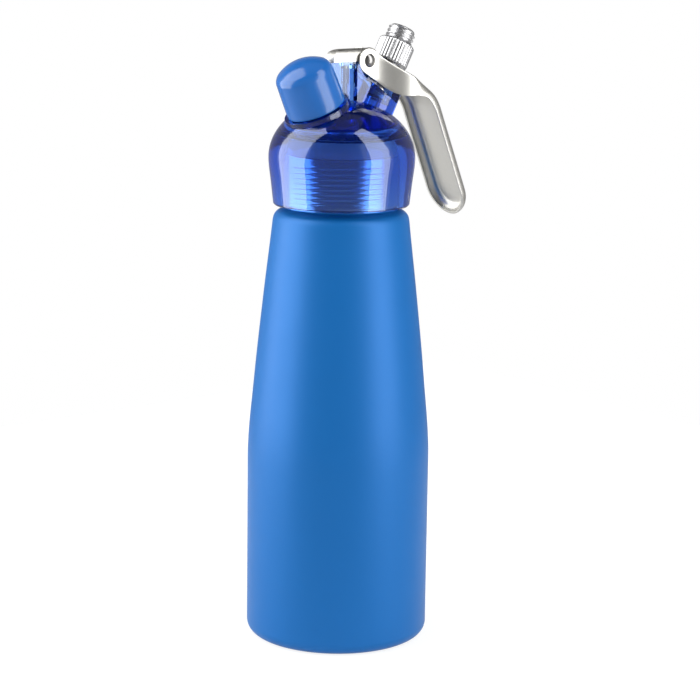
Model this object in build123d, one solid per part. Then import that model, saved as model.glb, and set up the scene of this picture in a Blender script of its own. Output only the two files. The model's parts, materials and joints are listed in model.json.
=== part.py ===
"""Whipped cream dispenser: aluminium pressure bottle, screw-on plastic head, pull-up valve and lever.

Millimetres. The origin is the centre of the bottle's flat base, +Z runs up the bottle's axis,
the nozzle leans towards -X, and the charger inlet and the lever are on the +X side.
"""

import os
from math import atan2, cos, pi, radians, sin

from build123d import *

# ---- bottle -------------------------------------------------------------------------------------
BOTTLE_R = 40.0
BASE_CORNER_R = 5.3
BOTTLE_WALL = 1.2
BOTTLE_FLOOR = 2.0
CYLINDER_TOP_Z = 80.2
TAPER_POINTS = ((37.24, 116.8), (33.41, 153.4))
SHOULDER_R = 29.9
SHOULDER_Z = 183.5
SHELF_R = 26.5
SHELF_Z = 189.9
BASE_GROOVE_R = 27.0
BASE_GROOVE_WIDTH = 1.6
BASE_GROOVE_DEPTH = 0.6

# ---- threaded neck ------------------------------------------------------------------------------
NECK_ROOT_R = 24.3
NECK_CREST_R = 25.0
NECK_BORE_R = 21.5
NECK_FOOT_Z = 191.2
NECK_TOP_Z = 214.5
THREAD_PITCH = 2.2
THREAD_TURNS = 9
THREAD_START_Z = 193.4
LIP_ROUND = 0.8

# ---- head shell ---------------------------------------------------------------------------------
HEAD_RIM_Z = 192.3
HEAD_RIM_R = 29.55
HEAD_RIM_BEVEL = 0.6
HEAD_MOUTH_BEVEL = 0.8
SKIRT_POINT = (30.85, 204.1)
HEAD_MAX_R = 31.7
HEAD_MAX_Z = 213.0
DOME_HEIGHT = 24.5
HEAD_BORE_R = 25.4
GASKET_FACE_Z = 221.0
GASKET_THICKNESS = 6.45
GASKET_IN_R = 21.9
GASKET_OUT_R = 25.0
HEAD_CAVITY_R = 22.6
HEAD_CAVITY_TOP_Z = 225.0
HEAD_CAVITY_ROUND = 3.0
AXES_CROSS_Z = 204.7

# ---- nozzle side --------------------------------------------------------------------------------
NOZZLE_TILT = 25.2
NOZZLE_BOSS_R = 14.5
NOZZLE_BOSS_FOOT = 10.0
NOZZLE_BOSS_TOP = 32.9
NOZZLE_SOCKET_R = 6.0
NOZZLE_SOCKET_FLOOR = 26.5
NOZZLE_GROOVE_R = 7.8
NOZZLE_GROOVE_DEPTH = 1.6
NOZZLE_RING_WIRE_R = 0.7
NOZZLE_TUBE_BORE_R = 3.0
NOZZLE_TUBE_TOP = 44.0
NOZZLE_STUB_R = 5.5
NOZZLE_STUB_CREST_R = 6.0
NOZZLE_STUB_THREAD = 37.5
NOZZLE_STUB_PITCH = 1.5
NOZZLE_STUB_TURNS = 4
NOZZLE_COLLAR_R = 8.2
NOZZLE_COLLAR_H = 2.0
TIP_BASE_R = 8.0
TIP_BORE_R = 6.35
TIP_BELL = 45.0
TIP_MOUTH_R = 3.6
TIP_TOP = 52.2
TIP_WALL = 1.1
TIP_SLOTS = 6
TIP_SLOT_WIDTH = 1.2
TIP_SLOT_DEPTH = 2.5
CAP_BASE = 33.3
CAP_BASE_R = 12.95
CAP_SHOULDER_R = 12.55
CAP_SIDE_H = 17.2
CAP_CROWN_H = 5.0
CAP_EDGE_R = 2.6
CAP_WALL = 1.5
CAP_RIB = (38.0, 39.5)
CAP_RIB_GAP = 0.3
CROSS_PORT_R = 2.2
CROSS_PORT_Z = 228.2

# ---- charger side -------------------------------------------------------------------------------
INLET_TILT = 28.0
INLET_BOSS_R = 10.2
INLET_BOSS_FOOT = 18.0
INLET_BOSS_TOP = 44.5
INLET_SOCKET_R = 4.7
INLET_SOCKET_FLOOR = 36.0
INLET_SEAL_THICKNESS = 1.0
INLET_SEAL_BORE_R = 2.2
INLET_PORT_R = 1.6
INLET_PORT_START = 20.5
INLET_BORE_R = 3.5
INLET_NECK_R = 5.2
CHECK_VALVE_BOTTOM = 39.0
CHECK_VALVE_BORE_R = 1.2
FILTER_BOTTOM = 43.4
FILTER_TOP = 44.5
KNURL_BOTTOM = 53.4
KNURL_TOP = 63.9
KNURL_R = 8.0
KNURL_TEETH = 36
KNURL_DEPTH = 0.35
KNURL_BEVEL = 0.9
STUD_CREST_R = 6.2
STUD_ROOT_R = 5.5
STUD_END = 70.4
STUD_PITCH = 1.8
STUD_TURNS = 3
STUD_RUN_IN = 1.3
STUD_BEVEL = 0.6
CHARGER_SOCKET_R = 4.4
CHARGER_SOCKET_DEPTH = 7.0
CARRIER_BOTTOM = 57.0
CARRIER_TOP = 61.5
CARRIER_HOLES = 3
CARRIER_HOLE_R = 0.6
CARRIER_HOLE_CIRCLE_R = 2.2
PIERCING_PIN_R = 0.9
PIERCING_PIN_SHOULDER = 65.6
PIERCING_PIN_POINT = 2.0
CHARGER_SEAL_BORE_R = 2.4
CHARGER_SEAL_THICKNESS = 1.4

# ---- lever pivot --------------------------------------------------------------------------------
PIVOT_X = 11.3
PIVOT_Z = 254.1
PIVOT_R = 2.0
PIVOT_HEAD_R = 2.9
PIVOT_HEAD_H = 1.3
RUNNING_GAP = 0.05

# ---- valve post, on top of the head -------------------------------------------------------------
CAP_CLEARANCE_R = 13.3
POST_LEFT_X = -12.0
POST_STEP_X = 5.7
POST_RIGHT_X = 16.0
POST_HALF_Y = 3.0
POST_LUG_HALF_Y = 2.15
POST_FOOT_Z = 228.0
POST_TOP_Z = 253.7
COLUMN_X = 12.3
COLUMN_R = 3.7
COLUMN_TOP_Z = 243.5
COLUMN_FOOT_R = 6.5
COLUMN_FOOT_Z = 238.0
COLUMN_FOOT_H = 3.0
GUSSET_TOP = ((3.5, 252.8), (5.2, 252.8), (5.2, 251.0), (8.0, 247.2), (12.4, 243.6), (16.8, 238.7))
GUSSET_FOOT_Z = 236.0
GUSSET_HALF_Y = 5.6
LUG_LEFT_X = 8.3
LUG_RIGHT_X = 14.3
LUG_TOP_Z = 256.6
LIFTER_SLOT_HALF_Y = 1.4
LIFTER_SLOT_FLOOR_Z = 250.8
LIFTER_SLOT_LEFT_X = 3.0
SLOT_TOP_Z = 261.3
PRONG_SLOT_HALF_Y = 2.2
PRONG_SLOT_FLOOR_Z = 252.3
PRONG_SLOT_LEFT_X = -1.9

# ---- valve --------------------------------------------------------------------------------------
VALVE_TUBE_R = 8.5
VALVE_TUBE_BOTTOM_Z = 211.0
SEAT_R = 6.2
SEAT_BOTTOM_Z = 209.8
SEAT_TOP_Z = 216.5
SEAT_PORT_R = 3.0
SEAT_SLOT_WIDTH = 1.6
SEAT_SLOT_DEPTH = 1.2
CHAMBER_R = 5.0
CHAMBER_TOP_Z = 235.5
GUIDE_BOTTOM_Z = 229.5
SEAL_BOTTOM_Z = 216.55
SEAL_THICKNESS = 2.0
SEAL_BORE_R = 1.1
STEM_FOOT_R = 4.2
STEM_FOOT_H = 1.5
STEM_R = 1.8
STEM_STEP_Z = 233.3
STEM_TOP_R = 1.2
STEM_TOP_Z = 256.2
STEM_BEVEL = 0.5
O_RING_HEIGHTS = (230.8, 232.4)
O_RING_MEAN_R = 1.33
O_RING_WIRE_R = 0.50
O_RING_GROOVE_R = 0.52
SPRING_BORE_R = 2.1
SPRING_BORE_BOTTOM_Z = 244.5
COLLAR_R = 2.0
COLLAR_BOTTOM_Z = 244.7
COLLAR_H = 0.8
SPRING_TOP_Z = 250.9
SPRING_MEAN_R = 1.6
SPRING_WIRE_R = 0.28
SPRING_COILS = 5
RETAINER_BOTTOM_Z = 251.0
RETAINER_TOP_Z = 252.0
CROSS_PIN_Z = 254.65
CROSS_PIN_R = 0.6
CROSS_PIN_HALF = 1.9

# ---- lifter -------------------------------------------------------------------------------------
LIFTER_HUB_R = 3.0
LIFTER_HALF_Y = 1.3
PRONG_OUT_Y = 2.1
PRONG_END_X = -1.2
PRONG_LOW_Z = 252.6
PRONG_TOP_Z = 253.9
PRONG_ROOT_X = 3.3
STEM_GAP_END_X = 1.5

# ---- top cover ----------------------------------------------------------------------------------
COVER_LEFT_X = -7.2
COVER_NOSE_X = -1.5
COVER_RIGHT_X = 13.0
COVER_HALF_Y = 3.0
COVER_BOTTOM_Z = 253.8
COVER_ROUND_Z = 256.3
COVER_SHEET = 0.8
COVER_EAR_R = 5.0

# ---- lever --------------------------------------------------------------------------------------
LEVER_SHEET = 1.0
LEVER_EYE_R = 5.6
EYE_HALF_Y = 4.4
HANDLE_HALF_Y = 12.0
FLARE_START_X = 15.5
FLARE_END_X = 28.2
FLARE_START_ROUND = 9.0
FLARE_END_ROUND = 20.0
NECK_TOP = ((15.6, 256.7), (24.4, 250.8))
NECK_BOTTOM = ((8.8, 249.1), (14.7, 245.3), (19.7, 241.3), (25.5, 238.9))
NECK_BOTTOM_ROUND = 6.0
LEVER_CORNER = (45.2, 238.7)
LEVER_CORNER_ROUND = 20.0
HANDLE_SLOPE = 67.7
HANDLE_LENGTH = 58.0
HANDLE_DEPTH = 4.8
HANDLE_BEND_R = 4.6
LEVER_LOWER_Z = 238.7
LEVER_LOWER_ROUND = 10.0
WEB_START_X = 34.5
BACK_CORNER_DIP = 1.7
PAST_EDGE = 3
BEYOND = 100.0
CHEEK_GAP = 0.4
CHEEK_SWEEP = ((6.0, 250.5), (12.4, 244.2), (16.8, 239.3), (22.3, 235.8), (31.0, 234.2))
WASHER_R = 4.4
WASHER_THICKNESS = 0.3

UPRIGHT = (Align.CENTER, Align.CENTER, Align.MIN)
NOZZLE_FRAME = Pos(0, 0, AXES_CROSS_Z) * Rot(0, -NOZZLE_TILT, 0)
INLET_FRAME = Pos(0, 0, AXES_CROSS_Z) * Rot(0, INLET_TILT, 0)


def cylinder(radius, bottom, top):
    """A solid cylinder on the local Z axis."""
    return Pos(0, 0, bottom) * Cylinder(radius, top - bottom, align=UPRIGHT)


def tube(outer, inner, bottom, top):
    """A plain ring on the local Z axis."""
    return cylinder(outer, bottom, top) - cylinder(inner, bottom - 1, top + 1)


def lathe(points):
    """Turns a closed outline of (radius, height) corners about the local Z axis."""
    return revolve(Plane.XZ * make_face(Polyline(*points, close=True)), Axis.Z)


def torus(mean_radius, wire_radius, height):
    """An O-ring that lies flat at a height on the local Z axis."""
    return Pos(0, 0, height) * Torus(mean_radius, wire_radius)


def across(radius, half_length, x, z):
    """A pin along Y through the point (x, z)."""
    return Pos(x, 0, z) * Rot(90, 0, 0) * Cylinder(radius, 2 * half_length)


def chamfered_top(solid, size):
    """The solid with the edges of its top face bevelled."""
    return chamfer(solid.edges().group_by(Axis.Z)[-1], size)


def thread_outline(root, crest, start, pitch, turns):
    """Corners of rounded-off thread ridges, one ridge a pitch, going up."""
    corners = []
    for turn in range(turns):
        middle = start + turn * pitch
        corners += [
            (root, middle - 0.40 * pitch),
            (crest, middle - 0.12 * pitch),
            (crest, middle + 0.12 * pitch),
            (root, middle + 0.40 * pitch),
        ]
    return corners


def bottle_skin(inset, floor):
    """The closed outline between the axis and the bottle's surface, drawn in by a wall thickness."""
    corner = BASE_CORNER_R - inset
    side = BOTTLE_R - inset
    taper = [(radius - inset, height) for radius, height in TAPER_POINTS]
    shoulder = (SHOULDER_R - inset, SHOULDER_Z - inset)
    shelf = (SHELF_R - inset, SHELF_Z - inset)
    throat_r = NECK_BORE_R if inset else NECK_ROOT_R
    foot_z = NECK_FOOT_Z - inset
    outline = Line((0, floor), (side - corner, floor))
    outline += CenterArc((side - corner, floor + corner), corner, 270, 90)
    outline += Line((side, floor + corner), (side, CYLINDER_TOP_Z))
    outline += Spline((side, CYLINDER_TOP_Z), *taper, shoulder, tangents=((0, 1), (-0.12, 1)))
    outline += Spline(shoulder, shelf, tangents=((-0.12, 1), (-1, 0.25)))
    outline += Polyline(shelf, (throat_r, foot_z), (throat_r, NECK_TOP_Z + inset), (0, NECK_TOP_Z + inset))
    outline += Line((0, NECK_TOP_Z + inset), (0, floor))
    return revolve(Plane.XZ * make_face(outline), Axis.Z)


def make_bottle():
    """Spun aluminium bottle with a thread rolled on its neck."""
    ridges = thread_outline(NECK_ROOT_R, NECK_CREST_R, THREAD_START_Z, THREAD_PITCH, THREAD_TURNS)
    inner = NECK_ROOT_R - 1
    thread = lathe([(inner, ridges[0][1]), *ridges, (inner, ridges[-1][1])])
    shell = bottle_skin(0, 0) + thread
    shell -= bottle_skin(BOTTLE_WALL, BOTTLE_FLOOR)
    lip = shell.edges().group_by(Axis.Z)[-1]
    shell = fillet(lip, LIP_ROUND)
    groove_in = BASE_GROOVE_R - BASE_GROOVE_WIDTH / 2
    groove_out = BASE_GROOVE_R + BASE_GROOVE_WIDTH / 2
    return shell - tube(groove_out, groove_in, -1, BASE_GROOVE_DEPTH)


def head_outside():
    """The outer skin of the head: a flared skirt that runs into a dome."""
    top_z = HEAD_MAX_Z + DOME_HEIGHT
    rim = (HEAD_RIM_R, HEAD_RIM_Z + HEAD_RIM_BEVEL)
    outline = Polyline((0, HEAD_RIM_Z), (HEAD_RIM_R - HEAD_RIM_BEVEL, HEAD_RIM_Z), rim)
    outline += Spline(rim, SKIRT_POINT, (HEAD_MAX_R, HEAD_MAX_Z), tangents=((0.12, 1), (0, 1)))
    outline += EllipticalCenterArc((0, HEAD_MAX_Z), HEAD_MAX_R, DOME_HEIGHT, 0, arc_size=90)
    outline += Line((0, top_z), (0, HEAD_RIM_Z))
    return revolve(Plane.XZ * make_face(outline), Axis.Z)


def head_inside():
    """The hollow of the head: thread bore, gasket ledge and the low dome above it."""
    hollow = cylinder(HEAD_BORE_R, HEAD_RIM_Z - 1, GASKET_FACE_Z)
    mouth = Cone(HEAD_BORE_R + HEAD_MOUTH_BEVEL, HEAD_BORE_R, HEAD_MOUTH_BEVEL, align=UPRIGHT)
    dome = cylinder(HEAD_CAVITY_R, GASKET_FACE_Z - 1, HEAD_CAVITY_TOP_Z)
    dome = fillet(dome.edges().group_by(Axis.Z)[-1], HEAD_CAVITY_ROUND)
    return hollow + Pos(0, 0, HEAD_RIM_Z) * mouth + dome


def box_between(low, high):
    """A box given by two opposite corners."""
    size = [high[axis] - low[axis] for axis in range(3)]
    middle = [(high[axis] + low[axis]) / 2 for axis in range(3)]
    return Pos(*middle) * Box(*size)


def cap_clearance():
    """The space that the nozzle cap needs when it is drawn off along the nozzle's axis."""
    return NOZZLE_FRAME * cylinder(CAP_CLEARANCE_R, NOZZLE_BOSS_TOP, 3 * NOZZLE_BOSS_TOP)


def valve_post():
    """The upright slab that carries the valve stem, the cover and the lever's pin."""
    thick = box_between(
        (POST_LEFT_X, -POST_HALF_Y, POST_FOOT_Z), (POST_STEP_X, POST_HALF_Y, POST_TOP_Z)
    )
    thin = box_between(
        (POST_STEP_X - 1, -POST_LUG_HALF_Y, POST_FOOT_Z), (POST_RIGHT_X, POST_LUG_HALF_Y, POST_TOP_Z)
    )
    lugs = box_between(
        (LUG_LEFT_X, -POST_LUG_HALF_Y, PIVOT_Z - 1), (LUG_RIGHT_X, POST_LUG_HALF_Y, LUG_TOP_Z)
    )
    column = Pos(COLUMN_X, 0, 0) * cylinder(COLUMN_R, POST_FOOT_Z, COLUMN_TOP_Z)
    foot = Cone(COLUMN_FOOT_R, COLUMN_R, COLUMN_FOOT_H, align=UPRIGHT)
    skirt = cylinder(COLUMN_FOOT_R, POST_FOOT_Z, COLUMN_FOOT_Z)
    column += Pos(COLUMN_X, 0, 0) * skirt + Pos(COLUMN_X, 0, COLUMN_FOOT_Z) * foot
    corners = [(GUSSET_TOP[0][0], GUSSET_FOOT_Z), *GUSSET_TOP, (GUSSET_TOP[-1][0], GUSSET_FOOT_Z)]
    gusset = extrude(Plane.XZ * make_face(Polyline(*corners, close=True)), GUSSET_HALF_Y, both=True)
    return thick + thin + lugs + column + gusset - cap_clearance()


def lifter_slots():
    """The slots in the top of the post for the lifter's arm and for its two prongs."""
    arm = box_between(
        (LIFTER_SLOT_LEFT_X, -LIFTER_SLOT_HALF_Y, LIFTER_SLOT_FLOOR_Z),
        (POST_RIGHT_X + 1, LIFTER_SLOT_HALF_Y, SLOT_TOP_Z),
    )
    prongs = box_between(
        (PRONG_SLOT_LEFT_X, -PRONG_SLOT_HALF_Y, PRONG_SLOT_FLOOR_Z),
        (LIFTER_SLOT_LEFT_X + 0.5, PRONG_SLOT_HALF_Y, SLOT_TOP_Z),
    )
    return arm + prongs


def neck_half_width(inset):
    """Corners of the lever's plan on one side, as (x, half width), drawn in by an inset."""
    rise = (HANDLE_HALF_Y - EYE_HALF_Y) / (FLARE_END_X - FLARE_START_X)
    shift = inset * ((1 + rise**2) ** 0.5 - 1) / rise
    return [
        (PIVOT_X - 3 * LEVER_EYE_R, EYE_HALF_Y - inset),
        (FLARE_START_X + shift, EYE_HALF_Y - inset),
        (FLARE_END_X + shift, HANDLE_HALF_Y - inset),
        (FLARE_END_X + 2 * HANDLE_LENGTH, HANDLE_HALF_Y - inset),
    ]


def neck_block(inset, bottom):
    """The space inside the lever's plan, above a height."""
    near = neck_half_width(inset)
    far = [(x, -y) for x, y in reversed(near)]
    start = FLARE_START_ROUND + inset
    end = FLARE_END_ROUND - inset
    plan = rounded_outline([*near, *far], {1: start, 2: end, 5: end, 6: start})
    return Pos(0, 0, bottom) * extrude(plan, LUG_TOP_Z + HANDLE_HALF_Y - bottom)


def below_cheeks():
    """The space that the lever's cheeks leave free under them at every angle of the lever."""
    left, right = CHEEK_SWEEP[0], CHEEK_SWEEP[-1]
    corners = [(-BOTTLE_R, left[1]), *CHEEK_SWEEP, (BOTTLE_R, right[1]), (BOTTLE_R, 0), (-BOTTLE_R, 0)]
    return extrude(Plane.XZ * make_face(Polyline(*corners, close=True)), BOTTLE_R, both=True)


def inlet_boss():
    """Inclined boss for the inlet adapter, relieved where the lever's cheeks pass it."""
    boss = INLET_FRAME * cylinder(INLET_BOSS_R, INLET_BOSS_FOOT, INLET_BOSS_TOP)
    between_cheeks = neck_block(LEVER_SHEET + CHEEK_GAP, POST_FOOT_Z)
    return (boss & between_cheeks) + (boss & below_cheeks())


def make_head_body():
    """Translucent plastic head, moulded in one piece with its nozzle boss, inlet boss and post."""
    shell = head_outside()
    shell += NOZZLE_FRAME * cylinder(NOZZLE_BOSS_R, NOZZLE_BOSS_FOOT, NOZZLE_BOSS_TOP)
    shell += inlet_boss()
    shell += valve_post()
    shell -= head_inside()
    shell += cylinder(VALVE_TUBE_R, VALVE_TUBE_BOTTOM_Z, HEAD_CAVITY_TOP_Z + 1)
    shell -= cylinder(SEAT_R, VALVE_TUBE_BOTTOM_Z - 1, SEAT_TOP_Z)
    shell -= cylinder(CHAMBER_R, SEAT_TOP_Z - 1, CHAMBER_TOP_Z)
    shell -= cylinder(STEM_TOP_R + RUNNING_GAP, CHAMBER_TOP_Z - 1, SPRING_BORE_BOTTOM_Z + 1)
    shell -= cylinder(SPRING_BORE_R, SPRING_BORE_BOTTOM_Z, POST_TOP_Z + 1)
    shell -= lifter_slots()
    shell -= across(PIVOT_R + RUNNING_GAP, POST_HALF_Y + 2, PIVOT_X, PIVOT_Z)
    shell -= NOZZLE_FRAME * cylinder(NOZZLE_SOCKET_R, NOZZLE_SOCKET_FLOOR, NOZZLE_BOSS_TOP + 1)
    groove_floor = NOZZLE_BOSS_TOP - NOZZLE_GROOVE_DEPTH
    shell -= NOZZLE_FRAME * cylinder(NOZZLE_GROOVE_R, groove_floor, NOZZLE_BOSS_TOP + 1)
    port_end_x = -NOZZLE_SOCKET_FLOOR * sin(radians(NOZZLE_TILT))
    port = Rot(0, -90, 0) * cylinder(CROSS_PORT_R, 0, -port_end_x)
    shell -= Pos(0, 0, CROSS_PORT_Z) * port
    shell -= INLET_FRAME * cylinder(INLET_SOCKET_R, INLET_SOCKET_FLOOR, INLET_BOSS_TOP + 2)
    shell -= INLET_FRAME * cylinder(INLET_PORT_R, INLET_PORT_START, INLET_SOCKET_FLOOR + 1)
    return shell


def make_head_gasket():
    """Flat silicone ring that seals the head on the bottle's lip."""
    return tube(GASKET_OUT_R, GASKET_IN_R, GASKET_FACE_Z - GASKET_THICKNESS, GASKET_FACE_Z)


def make_valve_seat():
    """Threaded brass seat, screwed in from under the head, with a driver slot."""
    seat = tube(SEAT_R, SEAT_PORT_R, SEAT_BOTTOM_Z, SEAT_TOP_Z)
    slot = Pos(0, 0, SEAT_BOTTOM_Z) * Box(2 * SEAT_R + 1, SEAT_SLOT_WIDTH, 2 * SEAT_SLOT_DEPTH)
    return seat - slot


def make_valve_stem():
    """Turned steel stem: spigot for the seal, foot plate, spring collar and a cross hole near its top."""
    foot_z = SEAL_BOTTOM_Z + SEAL_THICKNESS
    stem = cylinder(SEAL_BORE_R, SEAL_BOTTOM_Z + 0.2, foot_z)
    stem += cylinder(STEM_FOOT_R, foot_z, foot_z + STEM_FOOT_H)
    stem += cylinder(STEM_R, foot_z, STEM_STEP_Z)
    stem += chamfered_top(cylinder(STEM_TOP_R, STEM_STEP_Z - 1, STEM_TOP_Z), STEM_BEVEL)
    stem += cylinder(COLLAR_R, COLLAR_BOTTOM_Z, COLLAR_BOTTOM_Z + COLLAR_H)
    for ring_z in O_RING_HEIGHTS:
        stem -= torus(O_RING_MEAN_R, O_RING_GROOVE_R, ring_z)
    return stem - across(CROSS_PIN_R, 2 * STEM_TOP_R, 0, CROSS_PIN_Z)


def make_stem_o_rings():
    """Two O-rings in the stem's grooves."""
    return Compound(children=[torus(O_RING_MEAN_R, O_RING_WIRE_R, z) for z in O_RING_HEIGHTS])


def make_valve_seal():
    """Rubber disc under the stem's foot that closes the seat."""
    return tube(STEM_FOOT_R, SEAL_BORE_R, SEAL_BOTTOM_Z, SEAL_BOTTOM_Z + SEAL_THICKNESS)


def make_stem_guide():
    """Bush that guides the stem above the cream chamber."""
    return tube(CHAMBER_R, STEM_R + RUNNING_GAP, GUIDE_BOTTOM_Z, CHAMBER_TOP_Z)


def make_valve_spring():
    """Closed-up spring turns between the stem's collar and the retainer."""
    bottom = COLLAR_BOTTOM_Z + COLLAR_H + RUNNING_GAP
    rise = SPRING_TOP_Z - bottom - 2 * SPRING_WIRE_R
    path = Pos(0, 0, bottom + SPRING_WIRE_R) * Helix(rise / SPRING_COILS, rise, SPRING_MEAN_R)
    section = Plane(origin=path @ 0, z_dir=path % 0) * Circle(SPRING_WIRE_R)
    return sweep(section, path)


def make_spring_retainer():
    """Washer-like plug that the spring pushes against, staked in the post."""
    return tube(SPRING_BORE_R, STEM_TOP_R + RUNNING_GAP, RETAINER_BOTTOM_Z, RETAINER_TOP_Z)


def make_stem_cross_pin():
    """Pin through the stem that the lifter's prongs raise."""
    return across(CROSS_PIN_R, CROSS_PIN_HALF, 0, CROSS_PIN_Z)


def cover_section(inset):
    """The cover's cross section, straight sides under a half round, drawn in by a sheet thickness."""
    half = COVER_HALF_Y - inset
    bottom = COVER_BOTTOM_Z - 2 * inset
    walls = Pos(0, (COVER_ROUND_Z + bottom) / 2) * Rectangle(2 * half, COVER_ROUND_Z - bottom)
    return walls + Pos(0, COVER_ROUND_Z) * Circle(half)


def cover_side(inset):
    """The cover seen from the side, with its sloping nose, drawn in by a sheet thickness."""
    left = COVER_LEFT_X + inset
    top = COVER_ROUND_Z + COVER_HALF_Y - inset
    bottom = COVER_BOTTOM_Z - 2 * inset
    outline = Polyline((left, COVER_ROUND_Z), (left, bottom), (COVER_RIGHT_X, bottom), (COVER_RIGHT_X, top))
    outline += Line((COVER_RIGHT_X, top), (COVER_NOSE_X, top))
    outline += Spline((COVER_NOSE_X, top), (left, COVER_ROUND_Z), tangents=((-1, 0), (-0.5, -1)))
    return extrude(Plane.XZ * make_face(outline), 2 * COVER_HALF_Y, both=True)


def cover_channel(inset):
    """The cover's solid shape without ears, drawn in by a sheet thickness."""
    length = COVER_RIGHT_X - COVER_LEFT_X
    bar = Pos(COVER_LEFT_X, 0, 0) * extrude(Plane.YZ * cover_section(inset), length + 1)
    return bar & cover_side(inset)


def make_top_cover():
    """Stainless channel over the post, held by the lever's pin through its two ears."""
    inner = COVER_HALF_Y - COVER_SHEET
    reach = 2 * COVER_EAR_R
    ears = across(COVER_EAR_R, COVER_HALF_Y, PIVOT_X, PIVOT_Z)
    ears &= box_between(
        (PIVOT_X - reach, -COVER_HALF_Y, PIVOT_Z - reach), (PIVOT_X + reach, COVER_HALF_Y, COVER_ROUND_Z)
    )
    cover = cover_channel(0) + ears
    cover -= cover_channel(COVER_SHEET)
    between_ears = (PIVOT_X - reach, -inner, PIVOT_Z - reach), (PIVOT_X + reach, inner, COVER_ROUND_Z)
    cover -= box_between(*between_ears)
    cover -= cap_clearance()
    return cover - across(PIVOT_R + RUNNING_GAP, COVER_HALF_Y + 1, PIVOT_X, PIVOT_Z)


def handle_direction():
    """Unit vector down the handle, in the lever's plane."""
    return cos(radians(HANDLE_SLOPE)), -sin(radians(HANDLE_SLOPE))


def rounded_outline(corners, rounds):
    """A face with some of its corners rounded, given as {corner number: radius}."""
    face = make_face(Polyline(*corners, close=True))
    for number, radius in rounds.items():
        x, y = corners[number]
        corner = face.vertices().sort_by_distance(Vector(x, y, 0))[0]
        face = fillet(corner, radius)
    return face


def lever_side(sheet):
    """The lever from the side, between its back and its free edge.

    With a sheet thickness it is the inside instead: shy of the back and past the free edge.
    """
    along = handle_direction()
    inward = (along[1], -along[0])
    slope = neck_slope()
    bisect = (slope + radians(HANDLE_SLOPE)) / 2
    half_turn = (radians(HANDLE_SLOPE) - slope) / 2
    back_corner = (
        LEVER_CORNER[0] - sheet / cos(half_turn) * sin(bisect),
        LEVER_CORNER[1] - sheet / cos(half_turn) * cos(bisect),
    )
    tip_back = (back_corner[0] + HANDLE_LENGTH * along[0], back_corner[1] + HANDLE_LENGTH * along[1])
    depth = HANDLE_DEPTH + 2 * sheet
    tip_front = (tip_back[0] + depth * inward[0], tip_back[1] + depth * inward[1])
    lower_z = LEVER_LOWER_Z - PAST_EDGE * sheet
    rise = (lower_z - tip_front[1]) / -along[1]
    front_corner = (tip_front[0] - rise * along[0], lower_z)
    neck_top = [(x - sheet * sin(slope), z - sheet * cos(slope)) for x, z in NECK_TOP]
    neck_bottom = [(x, z - PAST_EDGE * sheet) for x, z in reversed(NECK_BOTTOM)]
    corners = [*neck_top, back_corner, tip_back, tip_front, front_corner, *neck_bottom]
    rounds = {2: LEVER_CORNER_ROUND - sheet, 5: LEVER_LOWER_ROUND, 6: NECK_BOTTOM_ROUND}
    return rounded_outline(corners, rounds)


def neck_slope():
    """Slope of the neck's back, going down to the bend into the handle."""
    run = LEVER_CORNER[0] - NECK_TOP[1][0]
    return atan2(NECK_TOP[1][1] - LEVER_CORNER[1], run)


def lever_plan(half_width):
    """The handle's outline seen square on, extruded through the lever: straight sides, round end."""
    along = handle_direction()
    tip = (LEVER_CORNER[0] + HANDLE_LENGTH * along[0], LEVER_CORNER[1] + HANDLE_LENGTH * along[1])
    up_handle = (-along[0], 0, -along[1])
    square_on = (along[1], 0, -along[0])
    face = Plane(origin=(tip[0], 0, tip[1]), x_dir=up_handle, z_dir=square_on)
    length = 2 * HANDLE_LENGTH
    outline = Pos(HANDLE_HALF_Y, 0) * Circle(half_width)
    outline += Pos(HANDLE_HALF_Y + length / 2, 0) * Rectangle(length, 2 * half_width)
    return extrude(face * outline, HANDLE_LENGTH, both=True)


def back_edges(solid, sheet):
    """The long edges round the back of the handle, which the stamping turns over."""
    along = handle_direction()
    normal = (-along[1], along[0])
    slope = neck_slope()
    found = []
    for edge in solid.edges():
        middle = edge @ 0.5
        crossing = abs((edge % 0.5).Y) > 0.9 and middle.Z > LEVER_CORNER[1] - HANDLE_LENGTH / 2
        run, drop = middle.X - LEVER_CORNER[0], middle.Z - LEVER_CORNER[1]
        off_handle = run * normal[0] + drop * normal[1]
        off_neck = run * sin(slope) + drop * cos(slope)
        if not crossing and max(off_handle, off_neck) > -sheet - BACK_CORNER_DIP:
            found.append(edge)
    return found


def lever_dish(sheet):
    """The handle's dished shape, or with a sheet thickness its inside."""
    half = HANDLE_HALF_Y - sheet
    start = WEB_START_X - 2 * sheet
    shape = extrude(Plane.XZ * lever_side(sheet), half, both=True) & lever_plan(half)
    shape &= box_between((start, -BEYOND, 0), (BEYOND, BEYOND, 3 * BEYOND))
    return fillet(back_edges(shape, sheet), HANDLE_BEND_R - sheet)


def lever_cheeks():
    """The two cheeks: close together at the pin, flaring out to the handle's width."""
    side = lever_side(0) + Pos(PIVOT_X, PIVOT_Z) * Circle(LEVER_EYE_R)
    plate = extrude(Plane.XZ * side, HANDLE_HALF_Y + 1, both=True)
    bottom = LEVER_LOWER_Z - HANDLE_HALF_Y
    sheets = neck_block(0, bottom) - neck_block(LEVER_SHEET, bottom - 1)
    return plate & sheets & box_between((-BEYOND, -BEYOND, 0), (WEB_START_X + 1, BEYOND, 3 * BEYOND))


def make_lever():
    """Stamped stainless lever: two flared cheeks on the pin and a dished handle with a round end."""
    lever = lever_cheeks() + (lever_dish(0) - lever_dish(LEVER_SHEET))
    return lever - across(PIVOT_R, EYE_HALF_Y + 1, PIVOT_X, PIVOT_Z)


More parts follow.
